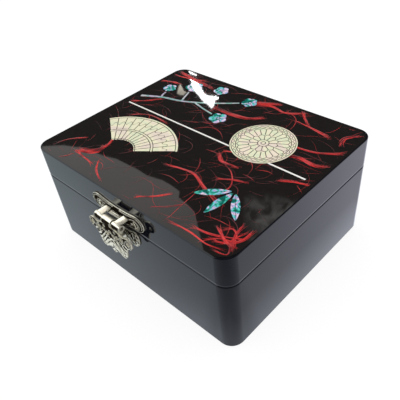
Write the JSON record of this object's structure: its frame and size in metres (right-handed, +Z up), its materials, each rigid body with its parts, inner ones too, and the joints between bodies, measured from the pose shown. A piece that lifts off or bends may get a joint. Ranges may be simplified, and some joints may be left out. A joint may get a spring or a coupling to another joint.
{
  "type": "jewelry box",
  "caption": "Black lacquered jewelry box with a hinged lid covered in red-fibred paper and shell inlay, a pierced hasp, and a velvet interior with wells, ring rolls and a mirror.",
  "frame": {"origin": "centre of the flat face that the box rests on, below the middle of the case", "axes": "+X along the front from left to right, +Y from the front to the back, +Z up; the latch is on the -Y side"},
  "size_m": [0.16, 0.1445, 0.07],
  "materials": {
    "black_lacquer": "black lacquer, mirror gloss",
    "lacquered_paper": "black mulberry paper with red fibres under clear lacquer",
    "felt": "pressed felt",
    "velvet": "short-pile velvet",
    "antique_brass": "antique finish, dark in the recesses",
    "pale_shell": "polished mother-of-pearl under lacquer",
    "coloured_shell": "polished blue-green shell under lacquer",
    "mirror_glass": "silvered glass"
  },
  "bodies": {
    "base": {"base_walls": "black_lacquer", "bottom_panel": "black_lacquer", "base_felt": "felt", "base_liner": "velvet", "divider_long": "velvet", "divider_back_left": "velvet", "divider_back_right": "velvet", "divider_front": "velvet", "pad_back_left": "velvet", "pad_back_middle": "velvet", "pad_back_right": "velvet", "pad_front_right": "velvet", "ring_bed": "velvet", "ring_roll_1": "velvet", "ring_roll_2": "velvet", "ring_roll_3": "velvet", "ring_roll_4": "velvet", "ring_roll_5": "velvet", "hinge_base_leaf_left": "antique_brass", "hinge_base_leaf_right": "antique_brass", "hinge_pin_left": "antique_brass", "hinge_pin_right": "antique_brass", "hinge_base_nail_left_1": "antique_brass", "hinge_base_nail_left_2": "antique_brass", "hinge_base_nail_right_1": "antique_brass", "hinge_base_nail_right_2": "antique_brass", "latch_base_plate": "antique_brass", "latch_base_nail_left": "antique_brass", "latch_base_nail_right": "antique_brass"},
    "lid": {"lid_walls": "black_lacquer", "lid_board": "black_lacquer", "lid_liner": "velvet", "mirror_board": "velvet", "mirror_glass": "mirror_glass", "mirror_frame": "antique_brass", "paper_sheet": "lacquered_paper", "inlay_medallion": "pale_shell", "inlay_fan": "pale_shell", "inlay_horizon_left": "pale_shell", "inlay_horizon_right": "pale_shell", "inlay_branch": "pale_shell", "inlay_blossom_1": "coloured_shell", "inlay_blossom_2": "coloured_shell", "inlay_blossom_3": "coloured_shell", "inlay_blossom_4": "coloured_shell", "inlay_blossom_5": "coloured_shell", "inlay_leaf_1": "coloured_shell", "inlay_leaf_2": "coloured_shell", "inlay_leaf_3": "coloured_shell", "hinge_lid_leaf_left": "antique_brass", "hinge_lid_leaf_right": "antique_brass", "hinge_lid_nail_left_1": "antique_brass", "hinge_lid_nail_left_2": "antique_brass", "hinge_lid_nail_right_1": "antique_brass", "hinge_lid_nail_right_2": "antique_brass", "latch_lid_plate": "antique_brass", "latch_lid_nail_left": "antique_brass", "latch_lid_nail_right": "antique_brass", "latch_pin": "antique_brass"},
    "hasp": {"latch_hasp": "antique_brass"}
  },
  "joints": [
    {"name": "lid_hinge", "type": "hinge", "parent": "base", "child": "lid", "pos_m": [0, 0.0674, 0.05015], "axis": [-1, 0, 0], "range_deg": [0, 98]},
    {"name": "hasp_swing", "type": "hinge", "parent": "lid", "child": "hasp", "pos_m": [0, -0.0727, 0.0564], "axis": [-1, 0, 0], "range_deg": [0, 115]}
  ]
}
